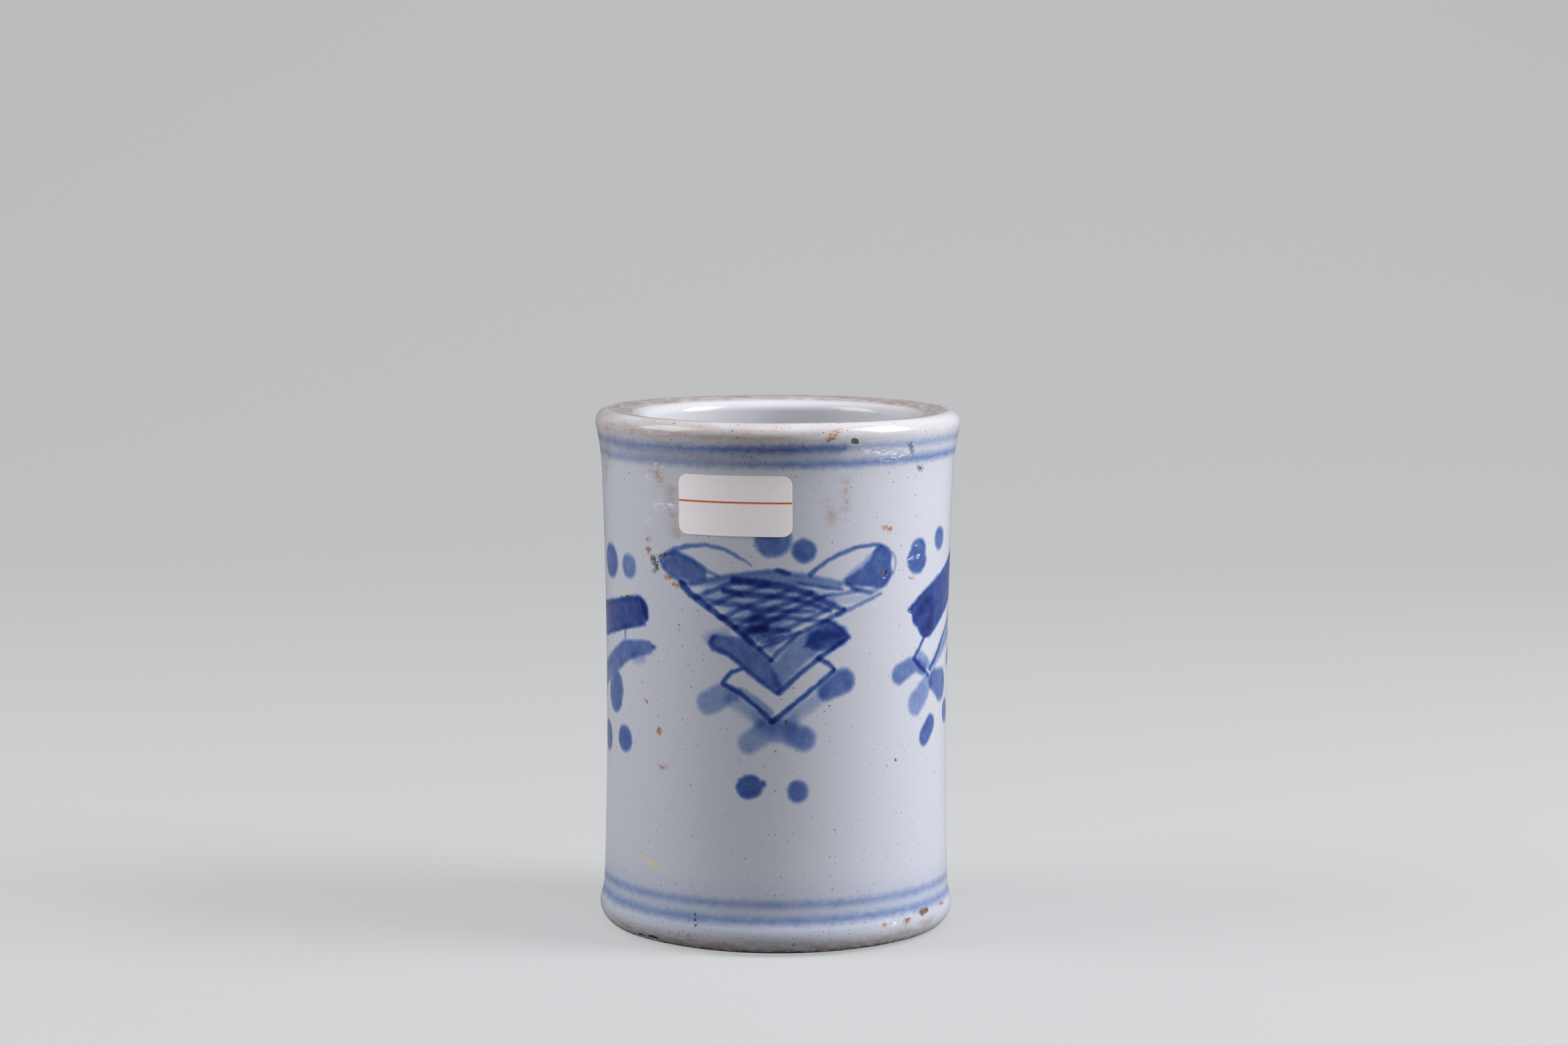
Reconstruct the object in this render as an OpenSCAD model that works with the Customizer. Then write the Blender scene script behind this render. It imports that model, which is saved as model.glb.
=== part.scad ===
// Porcelain brush pot, turned in one piece: a thick cylinder with a slight waist,
// a flared rounded lip, a rounded foot and a recessed base inside a bare foot ring.
// Sizes of the outside and the cavity are measured over the glaze.
// Millimetres, +Z up, origin on the table at the middle of the foot, front facing -Y.

/* [Wall] */
// Height from the table to the crest of the lip
height = 130; // [110:1:160]
// Diameter at the waist, the narrowest place of the outside
waist_d = 85.7; // [72:0.1:110]
// Height of the waist above the table
waist_z = 49; // [35:1:70]
// How far the wall swells from the waist up to the root of the lip
upper_swell = 1.2; // [0.5:0.1:3]
// How far the wall swells from the waist down to the root of the foot
lower_swell = 0.65; // [0.2:0.05:2]
// Wall thickness at the waist
wall_t = 9.35; // [6:0.05:14]
// Thickness of the floor between the cavity and the recess under the base
floor_t = 8.5; // [4:0.5:16]
// Radius of the rounded corner between the floor and the cavity wall
corner_r = 8; // [2:0.5:15]

/* [Lip] */
// How far the lip stands out from the wall at its root
lip_out = 1.7; // [1:0.1:5]
// Height of the flared lip, from its root to the crest
lip_h = 15.7; // [9:0.1:30]
// Radius of the outer edge of the lip
lip_round = 3.2; // [2:0.1:4.5]
// Radius of the gently crowned top of the lip
lip_crown_r = 24; // [14:1:60]
// Radius of the inner edge of the lip
lip_inner_round = 2.5; // [1:0.1:4]

/* [Foot] */
// How far the foot stands out from the wall at its root
foot_out = 1.05; // [0.5:0.05:4]
// Height of the flared foot, from the table to its root
foot_h = 10.8; // [9:0.1:25]
// Radius of the rounded edge of the foot
foot_round = 5.2; // [3:0.1:6]
// Width of the bare foot ring that stands on the table
foot_ring_w = 7; // [4:0.5:12]
// Depth of the recess under the base
recess_h = 2.5; // [1:0.1:5]
// How far the side of the recess slopes inwards
recess_slope = 0.8; // [0.2:0.1:2]

/* [Glaze] */
// Thickness of the glaze coats
glaze_t = 0.35; // [0.2:0.05:0.8]
// Height above the table at which the outer glaze stops
glaze_stop = 0.7; // [0.4:0.05:2]

/* [Paper label] */
// Width of the label, measured round the wall
label_w = 28.6; // [15:0.1:45]
// Height of the label
label_h = 14.6; // [8:0.1:25]
// Radius of the label's corners
label_round = 2.2; // [0.5:0.1:4]
// Thickness of the paper with its gum
label_t = 0.12; // [0.08:0.01:0.3]
// Distance from the crest of the lip down to the label's top edge
label_drop = 12.7; // [8:0.1:80]
// Angle of the label's middle round the pot, minus to the left of the front
label_angle = -14; // [-180:1:180]

/* [Hidden] */
// Fineness of the arcs: degrees in one step, and the fewest steps in an arc
arc_step = 10;
arc_least = 5;
// Facets of a full turn
turn_facets = 180;

// Outside, over the glaze
waist_r = waist_d / 2;
lip_root = [waist_r + upper_swell, height - lip_h];
foot_root = [waist_r + lower_swell, foot_h];
rim_r = lip_root.x + lip_out;
foot_r = foot_root.x + foot_out;

// The wall is two long hollow arcs that meet upright at the waist
upper_rise = lip_root.y - waist_z;
lower_rise = waist_z - foot_root.y;
upper_r = arc_radius(upper_rise, upper_swell);
lower_r = arc_radius(lower_rise, lower_swell);
upper_turn = asin(upper_rise / upper_r);
lower_turn = asin(lower_rise / lower_r);
upper_middle = [waist_r + upper_r, waist_z];
lower_middle = [waist_r + lower_r, waist_z];

// Each flare is a hollow arc that runs smoothly from the wall into the rounded edge
lip_edge = [rim_r - lip_round, height - lip_round];
foot_edge = [foot_r - foot_round, foot_round];
lip_side = [cos(upper_turn), -sin(upper_turn)];
foot_side = [cos(lower_turn), sin(lower_turn)];
lip_flare_r = flare_radius(lip_root - lip_edge, lip_side, lip_round);
foot_flare_r = flare_radius(foot_root - foot_edge, foot_side, foot_round);
lip_flare_middle = lip_root + lip_flare_r * lip_side;
foot_flare_middle = foot_root + foot_flare_r * foot_side;

// Top and inside, over the glaze
cavity_r = waist_r - wall_t;
floor_z = recess_h + floor_t;
crown_middle = [lip_edge.x, height - lip_crown_r];
inner_edge_x = cavity_r + lip_inner_round;
inner_edge_reach = lip_crown_r - lip_inner_round;
inner_edge_rise = sqrt(pow(inner_edge_reach, 2) - pow(lip_edge.x - inner_edge_x, 2));
inner_edge = [inner_edge_x, crown_middle.y + inner_edge_rise];
corner_middle = [cavity_r - corner_r, floor_z + corner_r];

// Underside
ring_outer_r = foot_edge.x;
ring_inner_r = ring_outer_r - foot_ring_w;
recess_r = ring_inner_r - recess_slope;
glaze_stop_angle = -asin((foot_round - glaze_stop) / foot_round);

// Label
label_z = height - label_drop - label_h / 2;
label_half_turn = label_w / 2 / wall_r(label_z) * 180 / PI;
label_half_w = wall_r(label_z) * sin(label_half_turn);

// Radius of an arc that starts upright and leaves the upright by swell over a rise
function arc_radius(rise, swell) = (pow(rise, 2) + pow(swell, 2)) / (2 * swell);

// Radius of the hollow arc that leaves a root along its side and touches an edge's round
function flare_radius(from_edge, side, edge_r) =
    (from_edge * from_edge - pow(edge_r, 2)) / (2 * (edge_r - side * from_edge));

// Radius of the wall above the waist at a height
function wall_r(z) = upper_middle.x - sqrt(pow(upper_r, 2) - pow(z - waist_z, 2));

function bearing(v) = atan2(v.y, v.x);

function reversed(points) = [for (i = [len(points) - 1:-1:0]) points[i]];

// Points along an arc, without its last one, where the next line starts
function arc(middle, r, from, to) =
    let (steps = max(arc_least, ceil(abs(to - from) / arc_step)))
    [for (i = [0:steps - 1])
        let (a = from + (to - from) * i / steps)
        middle + r * [cos(a), sin(a)]];

// Foot, from the edge of the glaze up to the root, at a depth under the glazed surface
function foot_line(depth) = concat(
    arc(foot_edge, foot_round - depth, glaze_stop_angle, bearing(foot_flare_middle - foot_edge)),
    arc(foot_flare_middle, foot_flare_r + depth, bearing(foot_edge - foot_flare_middle), lower_turn - 180));

// Wall, from the foot's root up to the lip's edge
function wall_line(depth) = concat(
    arc(lower_middle, lower_r + depth, lower_turn - 180, -180),
    arc(upper_middle, upper_r + depth, 180, 180 - upper_turn),
    arc(lip_flare_middle, lip_flare_r + depth, 180 - upper_turn, bearing(lip_edge - lip_flare_middle)));

// Outer edge of the lip, up to the crest
function edge_line(depth) =
    arc(lip_edge, lip_round - depth, bearing(lip_flare_middle - lip_edge), 90);

function outside(depth) = concat(foot_line(depth), wall_line(depth), edge_line(depth));

function crest(depth) = [lip_edge.x, height - depth];

// Top of the lip, cavity wall and floor, from the crest to the axis
function inside(depth) = concat(
    arc(crown_middle, lip_crown_r - depth, 90, bearing(inner_edge - crown_middle)),
    arc(inner_edge, lip_inner_round - depth, bearing(inner_edge - crown_middle), 180),
    [[cavity_r + depth, inner_edge.y]],
    arc(corner_middle, corner_r + depth, 0, -90),
    [[corner_middle.x, floor_z - depth], [0, floor_z - depth]]);

// Base, from the axis across the recess and the foot ring
base_line = [[0, recess_h], [recess_r, recess_h], [ring_inner_r, 0], [ring_outer_r, 0]];

// Rectangle with round corners, standing on the middle of the label
function label_outline() =
    let (corner = [label_half_w - label_round, label_h / 2 - label_round])
    concat(
        arc([corner.x, corner.y], label_round, 0, 90), [[corner.x, label_h / 2]],
        arc([-corner.x, corner.y], label_round, 90, 180), [[-label_half_w, corner.y]],
        arc([-corner.x, -corner.y], label_round, 180, 270), [[-corner.x, -label_h / 2]],
        arc([corner.x, -corner.y], label_round, 270, 360), [[label_half_w, -corner.y]]);

module turned(points) {
    rotate_extrude($fn = turn_facets) polygon(points);
}

// Fired clay: wall, floor and foot ring in one piece, bare only at the ring
module porcelain_body() {
    color("antiquewhite")
    turned(concat(base_line, outside(glaze_t), inside(glaze_t)));
}

// Clear glaze over the painted outside, from above the foot ring to the crest
module outer_glaze() {
    color("lightsteelblue")
    turned(concat(outside(0), [crest(0), crest(glaze_t)], reversed(outside(glaze_t))));
}

// Clear glaze over the top of the lip, down the cavity and across its floor
module inner_glaze() {
    color("lavender")
    turned(concat(inside(0), reversed(inside(glaze_t))));
}

// Clear glaze in the recess under the base
module base_glaze() {
    color("aliceblue")
    turned([
        [0, recess_h - glaze_t],
        [recess_r + recess_slope * glaze_t / recess_h, recess_h - glaze_t],
        [recess_r, recess_h],
        [0, recess_h]]);
}

// Gummed paper label that follows the curve of the wall
module paper_label() {
    color("white")
    rotate([0, 0, label_angle])
    intersection() {
        turned(concat(wall_line(-label_t), reversed(wall_line(0))));
        translate([0, 0, label_z])
        rotate([90, 0, 0])
        linear_extrude(2 * rim_r) polygon(label_outline());
    }
}

porcelain_body();
outer_glaze();
inner_glaze();
base_glaze();
paper_label();
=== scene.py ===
from math import asin, atan2, cos, degrees, pi, radians, sin, sqrt

import bpy
from mathutils import Matrix, Vector


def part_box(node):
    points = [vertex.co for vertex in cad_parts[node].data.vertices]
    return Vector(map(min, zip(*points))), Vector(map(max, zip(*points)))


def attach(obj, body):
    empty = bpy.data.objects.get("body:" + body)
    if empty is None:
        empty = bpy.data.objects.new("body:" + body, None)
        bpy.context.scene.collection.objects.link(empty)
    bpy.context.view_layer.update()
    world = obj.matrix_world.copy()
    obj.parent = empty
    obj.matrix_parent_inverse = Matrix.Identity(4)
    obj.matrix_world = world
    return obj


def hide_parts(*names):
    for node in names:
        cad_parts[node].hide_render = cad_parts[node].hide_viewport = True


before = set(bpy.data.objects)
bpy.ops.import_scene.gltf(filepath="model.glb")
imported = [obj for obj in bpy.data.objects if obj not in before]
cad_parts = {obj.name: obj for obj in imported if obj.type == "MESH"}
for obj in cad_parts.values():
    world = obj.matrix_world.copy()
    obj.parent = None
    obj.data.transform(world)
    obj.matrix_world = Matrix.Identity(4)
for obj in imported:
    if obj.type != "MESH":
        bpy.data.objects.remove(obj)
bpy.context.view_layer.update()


# Porcelain body. White clay, thrown and turned in one piece and fired under its glaze.
# Only the foot ring stays bare: it shows turning marks, the orange flush that clay takes
# beside glaze, and the dirt of long use. Above the ring the clay shows only in the chips,
# where it is painted near-black: dirt, with painted shade in the hollows of the chips.

MM = 0.001
clay_colour = (0.62, 0.56, 0.48, 1)
flush_colour = (0.42, 0.22, 0.10, 1)
# Near-black of old dirt, also used as painted shade at the foot's lower edge and in the chips
dirt_and_shade_colour = (0.10, 0.075, 0.055, 1)
bare_ring_top = 0.25
turning_mark_pitch = 0.9
turning_mark_share = 0.12
clay_relief = 0.1
clay_roughness = 0.7


def put(tree, kind, inputs=None, **settings):
    """Adds a node with its settings, and a value or another node's socket on each named input."""
    node = tree.nodes.new("ShaderNode" + kind)
    for name, value in settings.items():
        setattr(node, name, value)
    for name, value in (inputs or {}).items():
        if isinstance(value, bpy.types.NodeSocket):
            tree.links.new(value, node.inputs[name])
        else:
            node.inputs[name].default_value = value
    return node


def calc(tree, operation, *values):
    """Result of a Math node."""
    return put(tree, "Math", dict(enumerate(values)), operation=operation).outputs[0]


def calc3(tree, operation, *values):
    """Result of a Vector Math node."""
    node = put(tree, "VectorMath", dict(enumerate(values)), operation=operation)
    return node.outputs["Value" if operation in ("DOT_PRODUCT", "LENGTH") else "Vector"]


def times(tree, *values):
    """Product of masks or values."""
    product = values[0]
    for value in values[1:]:
        product = calc(tree, "MULTIPLY", product, value)
    return product


def ramp(tree, value, low, high):
    """Smooth step from 0 to 1 as a value goes from one level to another."""
    levels = {"Value": value, "From Min": low, "From Max": high}
    step = put(tree, "MapRange", levels, interpolation_type="SMOOTHSTEP", clamp=False)
    return step.outputs["Result"]


def lay(tree, amount, under, over, way="MIX"):
    """Lays one colour over another by an amount."""
    node = put(tree, "Mix", {0: amount, 6: under, 7: over}, data_type="RGBA", blend_type=way)
    return node.outputs[2]


def new_group(name, inputs, outputs):
    """Starts a node group with named sockets. Gives its tree, its inputs and its outputs."""
    tree = bpy.data.node_groups.new(name, "ShaderNodeTree")
    for in_out, sockets in (("INPUT", inputs), ("OUTPUT", outputs)):
        for socket, kind in sockets.items():
            tree.interface.new_socket(socket, in_out=in_out, socket_type="NodeSocket" + kind)
    start = tree.nodes.new("NodeGroupInput")
    end = tree.nodes.new("NodeGroupOutput")
    return tree, start.outputs, end.inputs


def new_material(name, roughness, shine=0.5):
    """Starts a material. Gives it, its tree, its shader and the place on the pot in millimetres."""
    material = bpy.data.materials.new(name)
    material.use_nodes = True
    tree = material.node_tree
    shader = tree.nodes["Principled BSDF"]
    shader.inputs["Roughness"].default_value = roughness
    shader.inputs["Specular IOR Level"].default_value = shine
    metres = put(tree, "TexCoord").outputs["Object"]
    place = calc3(tree, "DIVIDE", metres, (MM, MM, MM))
    return material, tree, shader, place


def off_axis(tree, place):
    """Distance from the pot's axis."""
    return calc3(tree, "LENGTH", calc3(tree, "MULTIPLY", place, (1, 1, 0)))


# Uneven patches of any size, for dirt, haze, specks and mottling
patches, given, out = new_group(
    "patches",
    {"Place": "Vector", "Size": "Float", "Level": "Float", "Softness": "Float"},
    {"Mask": "Float"})
finer = calc(patches, "DIVIDE", 1.0, given["Size"])
noise_inputs = {"Vector": given["Place"], "Scale": finer, "Detail": 3.0, "Roughness": 0.6}
clouds = put(patches, "TexNoise", noise_inputs).outputs["Fac"]
full_level = calc(patches, "ADD", given["Level"], given["Softness"])
patches.links.new(ramp(patches, clouds, given["Level"], full_level), out["Mask"])


def patch(tree, place, size, level, softness):
    """Mask of uneven patches: their size, the noise level where they start and how softly."""
    inputs = {"Place": place, "Size": size, "Level": level, "Softness": softness}
    return put(tree, "Group", inputs, node_tree=patches).outputs["Mask"]


fired_clay, tree, shader, place = new_material("fired_clay", clay_roughness)
axes = put(tree, "SeparateXYZ", {0: place}).outputs
ring_turns = times(tree, off_axis(tree, place), 2 * pi / turning_mark_pitch)
ring_wave = calc(tree, "SINE", ring_turns)
off_ring = ramp(tree, axes["Z"], 0.0, bare_ring_top)
colour = lay(tree, patch(tree, place, 5.0, 0.45, 0.25), clay_colour, flush_colour)
colour = lay(tree, patch(tree, place, 1.4, 0.52, 0.2), colour, dirt_and_shade_colour)
# Clay above the bare ring, seen only in the chips: near-black dirt and painted shade
colour = lay(tree, off_ring, colour, dirt_and_shade_colour)
grain = put(tree, "TexNoise", {"Vector": place, "Scale": 3.0, "Detail": 3.0}).outputs["Fac"]
relief = calc(tree, "MULTIPLY_ADD", ring_wave, turning_mark_share, grain)
bump = put(tree, "Bump", {"Strength": 0.5, "Distance": clay_relief * MM, "Height": relief})
tree.links.new(colour, shader.inputs["Base Color"])
tree.links.new(bump.outputs["Normal"], shader.inputs["Normal"])
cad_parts["porcelain_body"].material_slots[0].material = fired_clay


# Outer glaze. A clear coat, slightly blue, over emblems and rings painted in cobalt on the clay.
# It is poured on, fired with the clay and wiped off above the foot ring.
# It is now pitted, rust-stained and chipped.

glaze_low, glaze_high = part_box("outer_glaze")
height = glaze_high[2] / MM
rim_r = glaze_high[0] / MM
glaze_stop = glaze_low[2] / MM
glaze_t = 0.35
waist_r = 42.85
waist_z = 49.0
upper_swell = 1.2
lower_swell = 0.65
lip_h = 15.7
lip_round = 3.2
foot_out = 1.05
foot_h = 10.8
foot_round = 5.2
turn_steps = 288
wave_depth = 0.14
wave_size = 26


def arc(middle, r, start, end, steps):
    """Points along an arc between two bearings in degrees, without its last point."""
    bearings = [radians(start + (end - start) * i / steps) for i in range(steps)]
    return [(middle[0] + r * cos(a), middle[1] + r * sin(a)) for a in bearings]


def bearing(start, end):
    """Direction in degrees from one point of the outline to another."""
    return degrees(atan2(end[1] - start[1], end[0] - start[0]))


def arc_radius(rise, swell):
    """Radius of an arc that starts upright and leaves the upright by a swell over a rise."""
    return (rise ** 2 + swell ** 2) / (2 * swell)


def flare(root, turned, edge, edge_r):
    """Radius and middle of the hollow arc from a root of the wall that touches a rounded edge."""
    dr, dz = root[0] - edge[0], root[1] - edge[1]
    side = (cos(turned), sin(turned))
    r = (dr ** 2 + dz ** 2 - edge_r ** 2) / (2 * (edge_r - side[0] * dr - side[1] * dz))
    return r, (root[0] + r * side[0], root[1] + r * side[1])


lip_root = (waist_r + upper_swell, height - lip_h)
foot_root = (waist_r + lower_swell, foot_h)
upper_r = arc_radius(lip_root[1] - waist_z, upper_swell)
lower_r = arc_radius(waist_z - foot_root[1], lower_swell)
upper_turn = asin((lip_root[1] - waist_z) / upper_r)
lower_turn = asin((waist_z - foot_root[1]) / lower_r)
upper_middle = (waist_r + upper_r, waist_z)
lower_middle = (waist_r + lower_r, waist_z)
lip_edge = (rim_r - lip_round, height - lip_round)
foot_edge = (foot_root[0] + foot_out - foot_round, foot_round)
lip_flare_r, lip_flare = flare(lip_root, -upper_turn, lip_edge, lip_round)
foot_flare_r, foot_flare = flare(foot_root, lower_turn, foot_edge, foot_round)
glaze_stop_bearing = -degrees(asin((foot_round - glaze_stop) / foot_round))
foot_root_bearing = degrees(lower_turn) - 180
lip_root_bearing = 180 - degrees(upper_turn)

outer_line = arc(foot_edge, foot_round, glaze_stop_bearing, bearing(foot_edge, foot_flare), 20)
outer_line += arc(foot_flare, foot_flare_r, bearing(foot_flare, foot_edge), foot_root_bearing, 8)
outer_line += arc(lower_middle, lower_r, foot_root_bearing, -180, 22)
outer_line += arc(upper_middle, upper_r, 180, lip_root_bearing, 36)
outer_line += arc(lip_flare, lip_flare_r, lip_root_bearing, bearing(lip_flare, lip_edge), 8)
outer_line += arc(lip_edge, lip_round, bearing(lip_edge, lip_flare), 90, 14)
outer_line += [(lip_edge[0], height)]


def outside_r(z):
    """Radius of the glazed outside at a height."""
    for (r, low), (next_r, high) in zip(outer_line, outer_line[1:]):
        if low <= z < high:
            return r + (next_r - r) * (z - low) / (high - low)


def turn(name, line, steps=turn_steps, angle=2 * pi):
    """Turns an outline of (radius, height) points about the pot's axis, as on a wheel."""
    bpy.ops.object.select_all(action="DESELECT")
    bpy.ops.mesh.primitive_plane_add(size=MM, location=(line[0][0] * MM, 0, line[0][1] * MM))
    piece = bpy.context.object
    piece.name = name
    piece.data.name = name
    bpy.ops.object.transform_apply(location=True, rotation=False, scale=False)
    bpy.ops.object.mode_set(mode="EDIT")
    bpy.ops.mesh.merge(type="CENTER")
    for (r, z), (next_r, next_z) in zip(line, line[1:]):
        step = ((next_r - r) * MM, 0, (next_z - z) * MM)
        bpy.ops.mesh.extrude_vertices_move(TRANSFORM_OT_translate={"value": step})
    bpy.ops.mesh.select_all(action="SELECT")
    bpy.ops.mesh.spin(steps=steps, angle=angle, center=(0, 0, 0), axis=(0, 0, 1))
    bpy.ops.mesh.select_all(action="SELECT")
    bpy.ops.mesh.remove_doubles(threshold=0.001 * MM)
    bpy.ops.mesh.normals_make_consistent(inside=False)
    bpy.ops.object.mode_set(mode="OBJECT")
    return piece


def finish_mesh(piece, kind, **settings):
    """Adds a modifier with its settings and applies it."""
    bpy.ops.object.select_all(action="DESELECT")
    piece.select_set(True)
    bpy.context.view_layer.objects.active = piece
    modifier = piece.modifiers.new(kind.lower(), kind)
    for name, value in settings.items():
        setattr(modifier, name, value)
    bpy.ops.object.modifier_apply(modifier=modifier.name)


# Slight unevenness of a hand-turned wall, which only ever lies under the true outline
hand_waves = bpy.data.textures.new("hand_waves", "CLOUDS")
hand_waves.noise_scale = wave_size * MM
hand_waves.noise_depth = 1


def uneven(piece):
    """Gives a turned sheet its hand-turned surface."""
    finish_mesh(piece, "DISPLACE", texture=hand_waves, texture_coords="LOCAL",
                strength=wave_depth * MM, mid_level=1.0)


def coat(name, line):
    """A turned coat of glaze with a hand-turned surface and its own thickness."""
    piece = turn(name, line)
    uneven(piece)
    finish_mesh(piece, "SOLIDIFY", thickness=(glaze_t - wave_depth) * MM, offset=-1.0)
    return piece


def smooth(piece):
    """Smooth shading that keeps real edges sharp."""
    bpy.ops.object.select_all(action="DESELECT")
    piece.select_set(True)
    bpy.context.view_layer.objects.active = piece
    bpy.ops.object.shade_smooth_by_angle(angle=radians(40))


# Places on the outside are set out on the unrolled wall: millimetres round it from the front, and up
chart_r = 43.0
chip_depth = 1.8
chip_rough = 0.5
broken_edge = bpy.data.textures.new("broken_edge", "CLOUDS")
broken_edge.noise_scale = 0.7 * MM


def chip(piece, u, z, wide, tall, lean=0.0):
    """Breaks a small rough hole through a coat, down to the clay."""
    bpy.ops.object.select_all(action="DESELECT")
    bpy.ops.mesh.primitive_ico_sphere_add(subdivisions=4, radius=0.5 * MM)
    lump = bpy.context.object
    lump.scale = (chip_depth, wide, tall)
    bpy.ops.object.transform_apply(location=False, rotation=False, scale=True)
    finish_mesh(lump, "DISPLACE", texture=broken_edge, texture_coords="LOCAL",
                strength=chip_rough * MM)
    away = u / chart_r
    lump.rotation_euler = (radians(lean), 0, away - pi / 2)
    lump.location = (outside_r(z) * sin(away) * MM, -outside_r(z) * cos(away) * MM, z * MM)
    bpy.ops.object.transform_apply(location=True, rotation=True, scale=False)
    finish_mesh(piece, "BOOLEAN", operation="DIFFERENCE", solver="EXACT", object=lump)
    bpy.data.objects.remove(lump)


outer_coat = coat("outer_glaze_coat", outer_line)
chip(outer_coat, -37.4, 1.7, 2.6, 1.5)
chip(outer_coat, -32.8, 1.9, 4.0, 1.8)
chip(outer_coat, 27.5, 92.9, 2.3, 0.8, lean=30)
chip(outer_coat, -33.6, 74.1, 0.6, 0.5)
smooth(outer_coat)

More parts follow.
